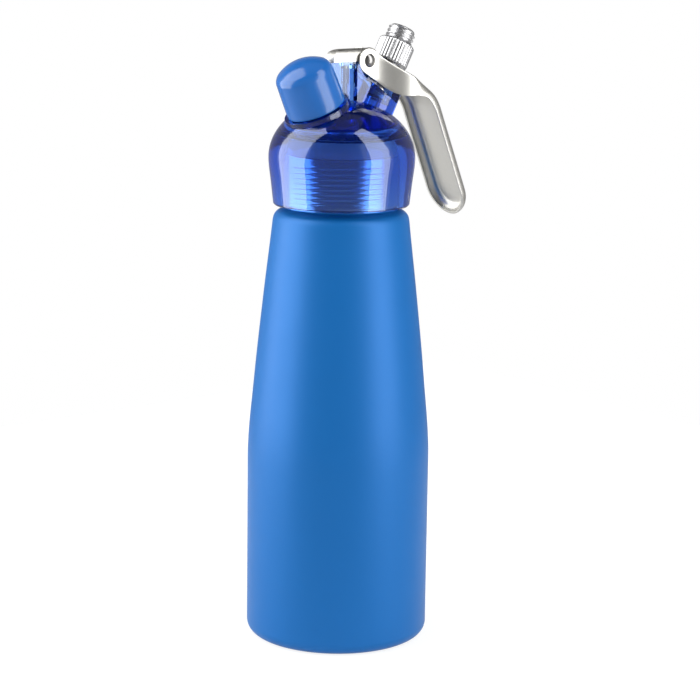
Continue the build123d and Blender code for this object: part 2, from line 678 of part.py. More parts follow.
def make_lever_pin():
    """Pivot rivet with a domed head outside each cheek."""
    pin = across(PIVOT_R, EYE_HALF_Y, PIVOT_X, PIVOT_Z)
    ball_r = (PIVOT_HEAD_R**2 + PIVOT_HEAD_H**2) / (2 * PIVOT_HEAD_H)
    block = 2 * EYE_HALF_Y
    for side in (-1, 1):
        ball = Pos(PIVOT_X, side * (EYE_HALF_Y + PIVOT_HEAD_H - ball_r), PIVOT_Z) * Sphere(ball_r)
        outside = Pos(PIVOT_X, side * (EYE_HALF_Y + block / 2), PIVOT_Z) * Box(block, block, block)
        pin += ball & outside
    return pin


def make_lever_washers():
    """Two thin plastic washers that space the cheeks off the cover."""
    middle = (COVER_HALF_Y + EYE_HALF_Y - LEVER_SHEET) / 2
    ring = Rot(90, 0, 0) * (Cylinder(WASHER_R, WASHER_THICKNESS) - Cylinder(PIVOT_R, 1))
    return Compound(children=[Pos(PIVOT_X, side * middle, PIVOT_Z) * ring for side in (-1, 1)])


def make_lever_lifter():
    """Arm on the pin inside the post, with two prongs that straddle the stem under its cross pin."""
    outline = Polyline(
        (PRONG_END_X, PRONG_LOW_Z),
        (PRONG_ROOT_X, PRONG_LOW_Z),
        (PIVOT_X - 1, PIVOT_Z - LIFTER_HUB_R + 0.1),
        (PIVOT_X, PRONG_TOP_Z),
        (PRONG_END_X, PRONG_TOP_Z),
        close=True,
    )
    side = make_face(outline) + Pos(PIVOT_X, PIVOT_Z) * Circle(LIFTER_HUB_R)
    arm = extrude(Plane.XZ * side, LIFTER_HALF_Y, both=True)
    prongs = box_between(
        (PRONG_END_X, -PRONG_OUT_Y, PRONG_LOW_Z), (PRONG_ROOT_X, PRONG_OUT_Y, PRONG_TOP_Z)
    )
    stem_gap = box_between(
        (PRONG_END_X - 1, -LIFTER_HALF_Y, 0), (STEM_GAP_END_X, LIFTER_HALF_Y, SLOT_TOP_Z)
    )
    return (arm + prongs) - stem_gap - across(PIVOT_R, LIFTER_HALF_Y + 1, PIVOT_X, PIVOT_Z)


def make_nozzle_tube():
    """Aluminium outlet tube, screwed into the nozzle boss, with a collar and a stub for the tip."""
    ridges = thread_outline(
        NOZZLE_STUB_R, NOZZLE_STUB_CREST_R, NOZZLE_STUB_THREAD, NOZZLE_STUB_PITCH, NOZZLE_STUB_TURNS
    )
    inner = NOZZLE_STUB_R - 0.5
    collar_top = NOZZLE_BOSS_TOP + NOZZLE_COLLAR_H
    body = cylinder(NOZZLE_SOCKET_R, NOZZLE_SOCKET_FLOOR + RUNNING_GAP, collar_top)
    body += cylinder(NOZZLE_COLLAR_R, NOZZLE_BOSS_TOP, collar_top)
    body += cylinder(NOZZLE_STUB_R, collar_top, NOZZLE_TUBE_TOP)
    body += lathe([(inner, ridges[0][1]), *ridges, (inner, ridges[-1][1])])
    body -= cylinder(NOZZLE_TUBE_BORE_R, NOZZLE_SOCKET_FLOOR - 1, NOZZLE_TUBE_TOP + 1)
    return NOZZLE_FRAME * body


def make_nozzle_o_ring():
    """O-ring in the boss under the outlet tube's collar."""
    mean_radius = (NOZZLE_SOCKET_R + NOZZLE_GROOVE_R) / 2
    return NOZZLE_FRAME * torus(mean_radius, NOZZLE_RING_WIRE_R, NOZZLE_BOSS_TOP - NOZZLE_GROOVE_DEPTH / 2)


def make_decorator_tip():
    """Star tip, screwed over the outlet tube's stub."""
    base = NOZZLE_BOSS_TOP + NOZZLE_COLLAR_H + 0.2
    above = TIP_TOP + 0.3
    mouth = TIP_MOUTH_R - TIP_WALL
    outside = [(0, base), (TIP_BASE_R, base), (TIP_BASE_R, TIP_BELL), (TIP_MOUTH_R, TIP_TOP), (0, TIP_TOP)]
    bell = (TIP_BORE_R, TIP_BELL - 0.5)
    inside = [(0, base - 1), (TIP_BORE_R, base - 1), bell, (mouth, above), (0, above)]
    tip = lathe(outside) - lathe(inside)
    slot = Pos(TIP_MOUTH_R, 0, TIP_TOP) * Box(2 * TIP_MOUTH_R, TIP_SLOT_WIDTH, 2 * TIP_SLOT_DEPTH)
    for number in range(TIP_SLOTS):
        tip -= Rot(0, 0, number * 360 / TIP_SLOTS) * slot
    return NOZZLE_FRAME * tip


def cap_outline(inset):
    """The cap's closed outline from its axis: slightly tapered side, rounded edge, crowned top."""
    edge_z = CAP_BASE + CAP_SIDE_H
    crown_z = edge_z + CAP_CROWN_H - inset
    bottom = CAP_BASE - (1 if inset else 0)
    half = CAP_SHOULDER_R - inset
    rise = CAP_CROWN_H
    ball = (CAP_SHOULDER_R**2 + rise**2) / (2 * rise) - inset
    shoulder_z = crown_z - ball + (ball**2 - half**2) ** 0.5
    outline = Polyline((0, crown_z), (0, bottom), (CAP_BASE_R - inset, bottom), (half, shoulder_z))
    outline += RadiusArc((half, shoulder_z), (0, crown_z), -ball)
    face = make_face(outline)
    corner = face.vertices().sort_by_distance(Vector(half, shoulder_z, 0))[0]
    return revolve(Plane.XZ * fillet(corner, CAP_EDGE_R - inset / 2), Axis.Z)


def make_nozzle_cap():
    """Opaque cap over the decorator tip, gripping the tip's base with an inner rib."""
    cap = cap_outline(0) - cap_outline(CAP_WALL)
    cap += tube(CAP_SHOULDER_R - CAP_WALL / 2, TIP_BASE_R + CAP_RIB_GAP, *CAP_RIB)
    return NOZZLE_FRAME * cap


def knurled_barrel():
    """Straight-knurled grip with a bevel at both ends."""
    corners = []
    for tooth in range(2 * KNURL_TEETH):
        radius = KNURL_R - (KNURL_DEPTH if tooth % 2 else 0)
        turn = tooth * pi / KNURL_TEETH
        corners.append((radius * cos(turn), radius * sin(turn)))
    section = make_face(Polyline(*corners, close=True))
    barrel = Pos(0, 0, KNURL_BOTTOM) * extrude(section, KNURL_TOP - KNURL_BOTTOM)
    bevelled = cylinder(KNURL_R + 0.1, KNURL_BOTTOM, KNURL_TOP)
    bevelled = chamfer(bevelled.edges().filter_by(GeomType.CIRCLE), KNURL_BEVEL)
    return barrel & bevelled


def make_inlet_adapter():
    """Plated brass inlet: neck, knurled grip and the threaded stud that takes a charger holder."""
    ridges = thread_outline(STUD_ROOT_R, STUD_CREST_R, KNURL_TOP + STUD_RUN_IN, STUD_PITCH, STUD_TURNS)
    inner = STUD_ROOT_R - 0.6
    bottom = INLET_SOCKET_FLOOR + INLET_SEAL_THICKNESS
    adapter = knurled_barrel()
    adapter += cylinder(INLET_SOCKET_R - RUNNING_GAP, bottom, KNURL_BOTTOM)
    adapter += cylinder(INLET_NECK_R, INLET_BOSS_TOP + 0.2, KNURL_BOTTOM + 1)
    adapter += chamfered_top(cylinder(STUD_ROOT_R, KNURL_TOP - 1, STUD_END), STUD_BEVEL)
    adapter += lathe([(inner, ridges[0][1]), *ridges, (inner, ridges[-1][1])])
    adapter -= cylinder(CHARGER_SOCKET_R, STUD_END - CHARGER_SOCKET_DEPTH, STUD_END + 1)
    adapter -= cylinder(INLET_BORE_R, CARRIER_BOTTOM, STUD_END)
    adapter -= cylinder(INLET_PORT_R, bottom - 1, CARRIER_BOTTOM + 1)
    adapter -= cylinder(INLET_BORE_R, CHECK_VALVE_BOTTOM, FILTER_TOP)
    return INLET_FRAME * adapter


def make_inlet_washer():
    """Flat seal at the bottom of the inlet socket."""
    top = INLET_SOCKET_FLOOR + INLET_SEAL_THICKNESS
    return INLET_FRAME * tube(INLET_SOCKET_R - RUNNING_GAP, INLET_SEAL_BORE_R, INLET_SOCKET_FLOOR, top)


def make_pin_carrier():
    """Drilled plug, screwed into the adapter, that holds the piercing pin."""
    carrier = tube(INLET_BORE_R, PIERCING_PIN_R, CARRIER_BOTTOM, CARRIER_TOP)
    drill = cylinder(CARRIER_HOLE_R, CARRIER_BOTTOM - 1, CARRIER_TOP + 1)
    gas_hole = Pos(CARRIER_HOLE_CIRCLE_R, 0, 0) * drill
    for number in range(CARRIER_HOLES):
        carrier -= Rot(0, 0, number * 360 / CARRIER_HOLES) * gas_hole
    return INLET_FRAME * carrier


def make_piercing_pin():
    """Hardened pin that opens the charger's cap."""
    pin = cylinder(PIERCING_PIN_R, CARRIER_BOTTOM, PIERCING_PIN_SHOULDER)
    point = Cone(PIERCING_PIN_R, 0.1, PIERCING_PIN_POINT, align=UPRIGHT)
    pin += Pos(0, 0, PIERCING_PIN_SHOULDER) * point
    return INLET_FRAME * pin


def make_charger_seal():
    """Rubber ring at the bottom of the charger socket."""
    floor = STUD_END - CHARGER_SOCKET_DEPTH
    return INLET_FRAME * tube(CHARGER_SOCKET_R, CHARGER_SEAL_BORE_R, floor, floor + CHARGER_SEAL_THICKNESS)


def make_inlet_filter():
    """Sintered disc that keeps debris out of the gas way."""
    return INLET_FRAME * cylinder(INLET_BORE_R, FILTER_BOTTOM, FILTER_TOP)


def make_check_valve():
    """Rubber sleeve valve that holds the gas in the bottle."""
    return INLET_FRAME * tube(INLET_BORE_R, CHECK_VALVE_BORE_R, CHECK_VALVE_BOTTOM, FILTER_BOTTOM)


PARTS = {
    "bottle": make_bottle,
    "head_body": make_head_body,
    "head_gasket": make_head_gasket,
    "valve_seat": make_valve_seat,
    "valve_stem": make_valve_stem,
    "valve_seal": make_valve_seal,
    "stem_o_rings": make_stem_o_rings,
    "stem_guide": make_stem_guide,
    "valve_spring": make_valve_spring,
    "spring_retainer": make_spring_retainer,
    "stem_cross_pin": make_stem_cross_pin,
    "top_cover": make_top_cover,
    "lever": make_lever,
    "lever_pin": make_lever_pin,
    "lever_washers": make_lever_washers,
    "lever_lifter": make_lever_lifter,
    "nozzle_tube": make_nozzle_tube,
    "nozzle_o_ring": make_nozzle_o_ring,
    "decorator_tip": make_decorator_tip,
    "nozzle_cap": make_nozzle_cap,
    "inlet_adapter": make_inlet_adapter,
    "inlet_washer": make_inlet_washer,
    "pin_carrier": make_pin_carrier,
    "piercing_pin": make_piercing_pin,
    "charger_seal": make_charger_seal,
    "inlet_filter": make_inlet_filter,
    "check_valve": make_check_valve,
}


def main():
    os.makedirs("parts", exist_ok=True)
    for node, make in PARTS.items():
        solid = make()
        export_step(solid, f"parts/{node}.step")
        print(node, round(solid.volume))


main()
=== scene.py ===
"""Whipped cream dispenser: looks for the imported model, in the row frame.

Shapes are written in millimetres and made in metres. The floor, the lights and the camera are in metres.
"""
import json
import math

import bmesh
import bpy
from mathutils import Matrix, Vector


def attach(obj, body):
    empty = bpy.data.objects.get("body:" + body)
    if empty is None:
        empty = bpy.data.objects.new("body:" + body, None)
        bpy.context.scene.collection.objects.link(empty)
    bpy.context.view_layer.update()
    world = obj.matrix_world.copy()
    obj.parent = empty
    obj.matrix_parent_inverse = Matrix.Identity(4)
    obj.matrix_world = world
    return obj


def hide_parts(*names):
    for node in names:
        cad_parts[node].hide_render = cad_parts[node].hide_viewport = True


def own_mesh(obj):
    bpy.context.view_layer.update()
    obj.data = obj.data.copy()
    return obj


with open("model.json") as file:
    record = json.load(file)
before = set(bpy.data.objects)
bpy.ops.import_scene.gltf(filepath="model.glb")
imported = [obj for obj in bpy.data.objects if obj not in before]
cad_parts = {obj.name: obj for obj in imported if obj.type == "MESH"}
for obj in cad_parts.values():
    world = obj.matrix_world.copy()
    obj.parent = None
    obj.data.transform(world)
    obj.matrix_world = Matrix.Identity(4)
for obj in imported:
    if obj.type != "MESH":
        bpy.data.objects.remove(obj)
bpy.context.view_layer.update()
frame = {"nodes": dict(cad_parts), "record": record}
nodes = frame["nodes"]
scene = bpy.context.scene


# ---- node helpers -------------------------------------------------------------------------------
def new_material(name):
    """A Principled material, its node tree and its shader."""
    material = bpy.data.materials.new(name)
    material.use_nodes = True
    tree = material.node_tree
    return material, tree, tree.nodes["Principled BSDF"]


def feed(tree, node, **inputs):
    """Fills the inputs named, each from another node's socket or with a constant."""
    for key, value in inputs.items():
        socket = node.inputs[key.replace("_", " ")]
        if isinstance(value, bpy.types.NodeSocket):
            tree.links.new(value, socket)
        else:
            socket.default_value = value
    return node


def put(tree, kind, **inputs):
    """Adds a node and fills the inputs named."""
    return feed(tree, tree.nodes.new(kind), **inputs)


def surface_point(tree, stretch=(1, 1, 1)):
    """Object coordinates, stretched."""
    where = tree.nodes.new("ShaderNodeTexCoord")
    mapping = put(tree, "ShaderNodeMapping", Vector=where.outputs["Object"], Scale=stretch)
    return mapping.outputs["Vector"]


def noise(tree, scale, detail=3.0, stretch=(1, 1, 1)):
    """Noise in object space."""
    where = surface_point(tree, stretch)
    return put(tree, "ShaderNodeTexNoise", Vector=where, Scale=scale, Detail=detail).outputs["Fac"]


def spread(tree, value, low, high):
    """Maps a 0 to 1 value to a range."""
    return put(tree, "ShaderNodeMapRange", Value=value, To_Min=low, To_Max=high).outputs["Result"]


def graded(tree, value, low, high, start, end):
    """A level that goes smoothly from start to end while a value goes from low to high."""
    level = put(tree, "ShaderNodeMapRange", Value=value, From_Min=low, From_Max=high)
    level.interpolation_type = "SMOOTHSTEP"
    feed(tree, level, To_Min=start, To_Max=end)
    return level.outputs["Result"]


def between(tree, value, first, second):
    """A colour between two, by a value."""
    node = tree.nodes.new("ShaderNodeMix")
    node.data_type = "RGBA"
    node.inputs[6].default_value = (*first, 1)
    node.inputs[7].default_value = (*second, 1)
    tree.links.new(value, node.inputs[0])
    return node.outputs[2]


def chosen(tree, share, first, second):
    """A level that is the first where the share is 0 and the second where it is 1."""
    return put(tree, "ShaderNodeMix", Factor=share, A=first, B=second).outputs["Result"]


def combined(tree, operation, first, second):
    """Two values put together by a Math node; the second may be a constant."""
    node = tree.nodes.new("ShaderNodeMath")
    node.operation = operation
    tree.links.new(first, node.inputs[0])
    if isinstance(second, bpy.types.NodeSocket):
        tree.links.new(second, node.inputs[1])
    else:
        node.inputs[1].default_value = second
    return node.outputs["Value"]


def mixed(tree, share, first, second):
    """Two shaders mixed by a share, which is a socket or a constant."""
    node = put(tree, "ShaderNodeMixShader", Fac=share)
    tree.links.new(first, node.inputs[1])
    tree.links.new(second, node.inputs[2])
    return node.outputs["Shader"]


def bump(tree, shader, value, height, strength):
    """Bump of a real height in metres."""
    node = put(tree, "ShaderNodeBump", Height=value, Strength=strength, Distance=height)
    feed(tree, shader, Normal=node.outputs["Normal"])


# ---- materials ----------------------------------------------------------------------------------
PLASTIC_IOR = 1.52
HAZE_COLOUR = (0.008, 0.05, 0.55, 1)
HAZE_SHARE = 0.075


def satin_paint(name, colour, second):
    """Fine-grained matte enamel."""
    material, tree, shader = new_material(name)
    tint = between(tree, noise(tree, scale=14.0, detail=2.0), colour, second)
    rough = spread(tree, noise(tree, scale=90.0), 0.40, 0.48)
    feed(tree, shader, Base_Color=tint, Roughness=rough, Metallic=0.22, Specular_IOR_Level=0.30)
    bump(tree, shader, noise(tree, scale=2600.0, detail=2.0), height=0.00003, strength=0.25)
    return material


def moulded(name, colour, second, roughness):
    """Opaque moulded plastic."""
    material, tree, shader = new_material(name)
    tint = between(tree, noise(tree, scale=40.0, detail=2.0), colour, second)
    rough = spread(tree, noise(tree, scale=260.0), roughness - 0.03, roughness + 0.05)
    feed(tree, shader, Base_Color=tint, Roughness=rough)
    bump(tree, shader, noise(tree, scale=900.0, detail=2.0), height=0.00001, strength=0.3)
    return material


def clear_blue(name):
    """Clear blue plastic, coloured through its thickness, with a little haze."""
    material, tree, shader = new_material(name)
    feed(tree, shader, Base_Color=(0.80, 0.90, 1.0, 1), Transmission_Weight=1.0, IOR=PLASTIC_IOR)
    rough = spread(tree, noise(tree, scale=60.0), 0.03, 0.06)
    feed(tree, shader, Specular_Tint=(1.4, 1.5, 1.7, 1), Roughness=rough)
    bump(tree, shader, noise(tree, scale=55.0, detail=2.0), height=0.0002, strength=0.05)
    volume = put(tree, "ShaderNodeVolumeAbsorption", Color=(0.20, 0.53, 0.89, 1), Density=290.0)
    haze = put(tree, "ShaderNodeBsdfDiffuse", Color=HAZE_COLOUR)
    skin = mixed(tree, HAZE_SHARE, shader.outputs["BSDF"], haze.outputs["BSDF"])
    feed(tree, tree.nodes["Material Output"], Surface=skin, Volume=volume.outputs["Volume"])
    return material


def metal(name, colour, second, roughness, grain=(1, 1, 1), grain_height=0.000004):
    """Bare metal with a faint grain, which is finer along the axis that grain scales up."""
    material, tree, shader = new_material(name)
    tint = between(tree, noise(tree, scale=30.0), colour, second)
    fine = noise(tree, scale=500.0, stretch=grain)
    rough = spread(tree, fine, roughness * 0.8, roughness * 1.25)
    feed(tree, shader, Metallic=1.0, Base_Color=tint, Roughness=rough)
    bump(tree, shader, fine, grain_height, strength=0.5)
    return material


def rubber(name, colour):
    """Moulded rubber."""
    material, tree, shader = new_material(name)
    tint = between(tree, noise(tree, scale=120.0), colour, [c * 0.8 for c in colour])
    rough = spread(tree, noise(tree, scale=400.0), 0.55, 0.7)
    feed(tree, shader, Base_Color=tint, Roughness=rough)
    bump(tree, shader, noise(tree, scale=1500.0), height=0.00002, strength=0.4)
    return material


paint = satin_paint("bottle_paint", (0.001, 0.108, 0.355), (0.002, 0.115, 0.373))
cap_plastic = moulded("cap_plastic", (0.010, 0.098, 0.345), (0.012, 0.104, 0.360), 0.16)
head_plastic = clear_blue("blue_clear_plastic")
lever_steel = metal("lever_steel", (0.55, 0.54, 0.505), (0.58, 0.57, 0.535), 0.37, (6, 1, 1), 0.000001)
bright_steel = metal("pin_steel", (0.22, 0.215, 0.21), (0.26, 0.255, 0.25), 0.24)
plating = metal("plated_brass", (0.54, 0.54, 0.55), (0.58, 0.58, 0.59), 0.33)
brass = metal("seat_brass", (0.60, 0.42, 0.17), (0.64, 0.46, 0.20), 0.25)
aluminium = metal("tube_aluminium", (0.72, 0.73, 0.75), (0.76, 0.77, 0.79), 0.16, (1, 1, 12))
tip_plastic = moulded("tip_plastic", (0.80, 0.80, 0.79), (0.84, 0.84, 0.83), 0.42)
guide_plastic = moulded("guide_plastic", (0.80, 0.80, 0.77), (0.83, 0.83, 0.80), 0.42)
black_rubber = rubber("seal_rubber", (0.020, 0.020, 0.022))
silicone = rubber("gasket_silicone", (0.70, 0.70, 0.68))

BY_SLOT = {
    "bottle_paint": paint,
    "cap_plastic": cap_plastic,
    "blue_clear_plastic": head_plastic,
    "lever_steel": lever_steel,
    "pin_steel": bright_steel,
    "plated_brass": plating,
    "seat_brass": brass,
    "tube_aluminium": aluminium,
    "tip_plastic": tip_plastic,
    "guide_plastic": guide_plastic,
    "seal_rubber": black_rubber,
    "gasket_silicone": silicone,
}
for part in frame["record"]["subparts"]:
    mesh = nodes[part["node"]].data
    mesh.materials.clear()
    mesh.materials.append(BY_SLOT[part["material_slot"]])


# ---- mesh helpers -------------------------------------------------------------------------------
WELD = 1e-7


def metres(x, y, z):
    """A point written in millimetres."""
    return Vector((x / 1000, y / 1000, z / 1000))


def linked(name, data):
    """A new object in the scene."""
    obj = bpy.data.objects.new(name, data)
    scene.collection.objects.link(obj)
    return obj


def finished(mesh, name):
    """The mesh data of a bmesh, which is freed."""
    data = bpy.data.meshes.new(name)
    mesh.to_mesh(data)
    mesh.free()
    return data


def grid_object(name, rows, materials, row_material=None):
    """A closed skin through rings of points; every ring has the same number of points."""
    mesh = bmesh.new()
    rings = [[mesh.verts.new(p) for p in row] for row in rows]
    count = len(rows[0])
    for number, (ring, following) in enumerate(zip(rings, rings[1:])):
        for i in range(count):
            j = (i + 1) % count
            face = mesh.faces.new((ring[i], ring[j], following[j], following[i]))
            face.smooth = True
            if row_material:
                face.material_index = row_material(number)
    bmesh.ops.remove_doubles(mesh, verts=mesh.verts, dist=WELD)
    bmesh.ops.recalc_face_normals(mesh, faces=mesh.faces)
    obj = linked(name, finished(mesh, name))
    for material in materials:
        obj.data.materials.append(material)
    return obj


def turned(name, profile, segments, materials, matrix=Matrix.Identity(4), ripple=None, row_material=None):
    """A turned piece from its closed profile of (radius, height), from axis to axis."""
    rows = []
    for radius, height in profile:
        ring = []
        for i in range(segments):
            turn = 2 * math.pi * i / segments
            r = ripple(radius, height, turn) if ripple else radius
            ring.append(matrix @ metres(r * math.cos(turn), r * math.sin(turn), height))
        rows.append(ring)
    return grid_object(name, rows, materials, row_material)


def crisp(obj, degrees):
    """Smooth shading that breaks at edges sharper than an angle."""
    mesh = obj.data
    mesh.shade_smooth()
    mesh.set_sharp_from_angle(angle=math.radians(degrees))


# ---- places -------------------------------------------------------------------------------------
# Where the nozzle's and the inlet's axes meet the bottle's, and how far they lean, in degrees.
# The lever's pin in the plane of the lever, and half the width over the lever's eyes.
AXES_MEET_Z = 204.7
NOZZLE_LEAN = -25.2
INLET_LEAN = 28.0
PIVOT = (11.3, 254.1)
EYE_HALF = 4.4


def leaning(degrees):
    """A frame on the bottle's axis whose z axis leans towards +X, or towards -X by a negative angle."""
    return Matrix.Translation(metres(0, 0, AXES_MEET_Z)) @ Matrix.Rotation(math.radians(degrees), 4, "Y")


# ---- outlines -----------------------------------------------------------------------------------
# A thread's ridge across one pitch: it falls from its peak by the slope and is cut off flat at 1.
# A radius this near the root's counts as lying on it.
RIDGE_PEAK = 1.35
RIDGE_SLOPE = 3.7
ON_ROOT = 0.01


def clamped(value):
    """A value kept from 0 to 1."""
    return min(max(value, 0), 1)


def smooth_step(low, high, value):
    """0 below low, 1 above high, smooth between them."""
    t = clamped((value - low) / (high - low))
    return t * t * (3 - 2 * t)


def arc(centre, radius, start, end, steps):
    """Points on a circular arc, angles in degrees."""
    turns = [math.radians(start + (end - start) * i / steps) for i in range(steps + 1)]
    return [(centre[0] + radius * math.cos(t), centre[1] + radius * math.sin(t)) for t in turns]


def dome_radius(half_width, rise):
    """The radius of a ball whose cap has this half width and rise."""
    return (half_width**2 + rise**2) / (2 * rise)


def dome_height(top, ball, r):
    """The height of a ball's cap at a distance from its axis."""
    return top - ball + math.sqrt(ball**2 - r**2)


def curve_through(points, first, last, steps):
    """A smooth curve through points, with its two end tangents given."""
    tangents = [Vector(first)]
    tangents += [(Vector(c) - Vector(a)) / 2 for a, c in zip(points, points[2:])]
    tangents.append(Vector(last))
    found = []
    for (a, b), (ta, tb) in zip(zip(points, points[1:]), zip(tangents, tangents[1:])):
        a, b = Vector(a), Vector(b)
        for i in range(steps):
            t = i / steps
            h1, h2 = 2 * t**3 - 3 * t**2 + 1, t**3 - 2 * t**2 + t
            h3, h4 = -2 * t**3 + 3 * t**2, t**3 - t**2
            found.append(tuple(a * h1 + ta * h2 + b * h3 + tb * h4))
    found.append(tuple(points[-1]))
    return found


def thread_ripple(root, crest, start, pitch, turns, fade):
    """A rounded helical ridge on a turned surface, running out over a share of a pitch at both ends."""
    def ripple(radius, height, turn):
        inside = clamped((height - start) / (fade * pitch))
        inside *= clamped((start + turns * pitch - height) / (fade * pitch))
        if radius < root - ON_ROOT or inside <= 0:
            return radius
        along = (height - start) / pitch - turn / (2 * math.pi)
        phase = along - math.floor(along)
        ridge = clamped(RIDGE_PEAK - abs(phase - 0.5) * RIDGE_SLOPE)
        return radius + (crest - root) * ridge * smooth_step(0, 1, inside)
    return ripple


# ---- bottle -------------------------------------------------------------------------------------
BOTTLE_R = 40
BOTTLE_SEGMENTS = 192
CORNER_R = 5.3
BODY_BORE = 38.8
BASE_THICKNESS = 2.0
THREAD_ROOT = 24.3
THREAD_CREST = 24.6
THREAD_FROM = 191.6
THREAD_STEP = 0.2
THREAD_ROWS = 110
LIP_R = 0.8
LIP_Z = 213.7
NECK_BORE = 21.5
PAINT_TOP = 193.0


def bottle_profile():
    """Outside from the base's centre up to the lip, then the inside back down."""
    groove = [(0, 0), (20, 0), (26.0, 0), (26.3, 0.5), (27.7, 0.5), (28.0, 0), (33, 0)]
    corner = arc((BOTTLE_R - CORNER_R, CORNER_R), CORNER_R, -90, 0, 14)
    side = [(BOTTLE_R, z) for z in (12, 25, 40, 55, 68)]
    taper = [(BOTTLE_R, 80.2), (37.24, 116.8), (33.41, 153.4), (29.9, 183.5)]
    shoulder = [taper[-1], (29.1, 187.6), (26.5, 189.9)]
    neck = [(25.3, 190.6), (24.6, 190.9), (THREAD_ROOT, 191.4)]
    neck += [(THREAD_ROOT, THREAD_FROM + THREAD_STEP * i) for i in range(THREAD_ROWS)]
    lip = arc((THREAD_ROOT - LIP_R, LIP_Z), LIP_R, 0, 90, 5)
    lip += arc((NECK_BORE + LIP_R, LIP_Z), LIP_R, 90, 180, 5)
    inside = [(NECK_BORE, 205), (NECK_BORE, 191), (23.5, 188.6), (27.2, 186.2), (28.6, 182.5)]
    inside += [(32.2, 153.4), (36.04, 116.8), (BODY_BORE, 80.2), (BODY_BORE, 6.1), (37.6, 3.2)]
    inside += [(34.7, BASE_THICKNESS), (0, BASE_THICKNESS)]
    outside = groove + corner + side + curve_through(taper, (0, 36), (-3.3, 30), 12)
    outside += curve_through(shoulder, (-0.5, 4.5), (-3.6, 1.6), 8)[1:]
    return outside + neck + lip + inside


def make_bottle():
    """Painted bottle with a bare rolled thread."""
    profile = bottle_profile()
    heights = [h for _, h in profile]
    top_row = heights.index(max(heights))
    ripple = thread_ripple(THREAD_ROOT, THREAD_CREST, start=193.3, pitch=2.2, turns=8.8, fade=0.5)

    def bare(number):
        return 1 if number > top_row or heights[number] >= PAINT_TOP else 0

    finishes = [paint, aluminium]
    bottle = turned("bottle_skin", profile, BOTTLE_SEGMENTS, finishes, ripple=ripple, row_material=bare)
    crisp(bottle, 50)
    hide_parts("bottle")
    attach(bottle, "bottle")


# ---- nozzle cap ---------------------------------------------------------------------------------
CAP_SEGMENTS = 160
CAP_RIM_ROUND = 0.3
CAP_TOP_R = 12.55
CAP_TOP = 55.5
CROWN_RISE = 5
CROWN_R = 10.6
CROWN_STEPS = 27


def make_cap():
    """Opaque cap with a crowned top and a rounded rim."""
    rim = arc((12.65, 33.6), CAP_RIM_ROUND, -90, 0, 4)
    side = [(12.93, 36), (12.85, 39), (12.75, 43), (12.65, 46), (12.58, 48.6)]
    ball = dome_radius(CAP_TOP_R, CROWN_RISE)
    crown = []
    for i in range(CROWN_STEPS + 1):
        r = CROWN_R * (1 - i / CROWN_STEPS)
        crown.append((r, dome_height(CAP_TOP, ball, r)))
    edge = curve_through([side[-1], crown[0]], (0, 3.6), (-3.3, 2.0), 10)[1:-1]
    inside = [(0, 54.0), (6, 53.0), (10.6, 50.2), (11.1, 48.5), (11.4, 40), (11.45, 34.0), (11.7, 33.3)]
    profile = rim + side + edge + crown + inside + [(12.1, 33.3)]
    cap = turned("cap_shell", profile, CAP_SEGMENTS, [cap_plastic], leaning(NOZZLE_LEAN))
    crisp(cap, 40)
    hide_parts("nozzle_cap")
    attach(cap, "cap")


# ---- inlet adapter ------------------------------------------------------------------------------
ADAPTER_SEGMENTS = 432
ADAPTER_BORE = 3.5
CHARGER_BORE = 4.4
STUD_ROOT = 5.5
STUD_CREST = 6.2
STUD_FROM = 64.0
STUD_STEP = 0.1
STUD_ROWS = 60
STUD_END = 70.4
KNURL_R = 8.0
KNURL_FROM = 53.6
KNURL_TO = 63.7
KNURL_INNER = 7.5
KNURL_GROOVES = 36
KNURL_DEPTH = 0.21
KNURL_ROUNDING = 0.7


def make_adapter():
    """Plated adapter with a straight knurl and a coarse helical stud."""
    neck = [(0, 37.0), (3.0, 37.0), (4.4, 37.0), (4.65, 37.25), (4.65, 44.6), (5.2, 44.7), (5.2, 53.35)]
    knurl = [(6.6, 53.4), (7.15, 53.42), (7.65, 53.75), (KNURL_R, 54.3)]
    knurl += [(KNURL_R, 54.8 + 0.85 * i) for i in range(10)]
    knurl += [(KNURL_R, 63.0), (7.65, 63.5), (7.15, 63.85), (6.6, 63.9), (5.55, 63.9)]
    stud = [(STUD_ROOT, STUD_FROM + STUD_STEP * i) for i in range(STUD_ROWS)]
    end = [(5.35, 70.1), (5.1, STUD_END), (4.6, STUD_END), (CHARGER_BORE, 70.2), (CHARGER_BORE, 63.4)]
    bore = [(ADAPTER_BORE, 63.3), (ADAPTER_BORE, 61.5), (0, 61.5)]
    thread = thread_ripple(STUD_ROOT, STUD_CREST, start=64.1, pitch=1.8, turns=3.2, fade=0.35)

    def ripple(radius, height, turn):
        if KNURL_FROM < height < KNURL_TO and radius > KNURL_INNER:
            groove = 0.5 - 0.5 * math.cos(KNURL_GROOVES * turn)
            return radius - KNURL_DEPTH * groove**KNURL_ROUNDING
        return thread(radius, height, turn) if abs(radius - STUD_ROOT) < ON_ROOT else radius

    profile = neck + knurl + stud + end + bore
    adapter = turned("adapter_body", profile, ADAPTER_SEGMENTS, [plating], leaning(INLET_LEAN), ripple)
    crisp(adapter, 38)
    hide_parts("inlet_adapter")
    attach(adapter, "inlet")


# ---- lever rivet --------------------------------------------------------------------------------
RIVET_R = 2.9
RIVET_RISE = 1.3
RIVET_STEPS = 14
RIVET_SEGMENTS = 64
SHANK_R = 2.0


